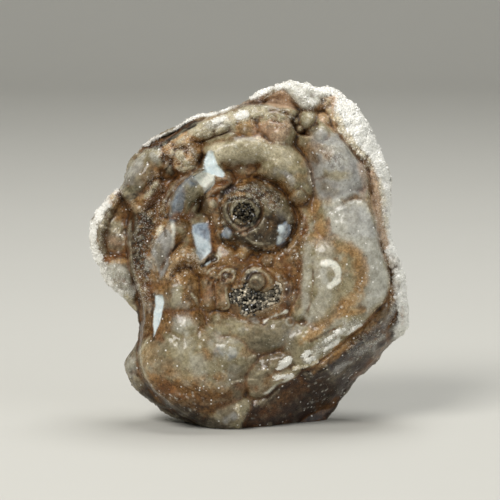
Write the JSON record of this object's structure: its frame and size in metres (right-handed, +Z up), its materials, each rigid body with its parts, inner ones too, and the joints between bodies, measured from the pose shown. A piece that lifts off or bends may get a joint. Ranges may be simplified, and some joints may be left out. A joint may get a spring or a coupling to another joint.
{
  "type": "chalcedony rose",
  "caption": "Upright chalcedony rose with overlapping petals, a frosted rim and two dark crystal-lined eyes, resting on a small flat spot.",
  "frame": {"origin": "middle of the flat spot that the stone rests on", "axes": "+Z up, along the stone's height; +X to the right across its face; -Y out of the face, which leans back by 8 degrees"},
  "size_m": [0.0531, 0.0231, 0.0567],
  "materials": {
    "chalcedony": "waxy to glassy, frosted along the rim",
    "brown_quartz": "glassy crystal points",
    "dark_quartz": "glassy crystal points"
  },
  "bodies": {
    "root": {"chalcedony_rose": "chalcedony", "upper_eye_druse": "brown_quartz", "lower_eye_druse": "dark_quartz"}
  },
  "joints": []
}
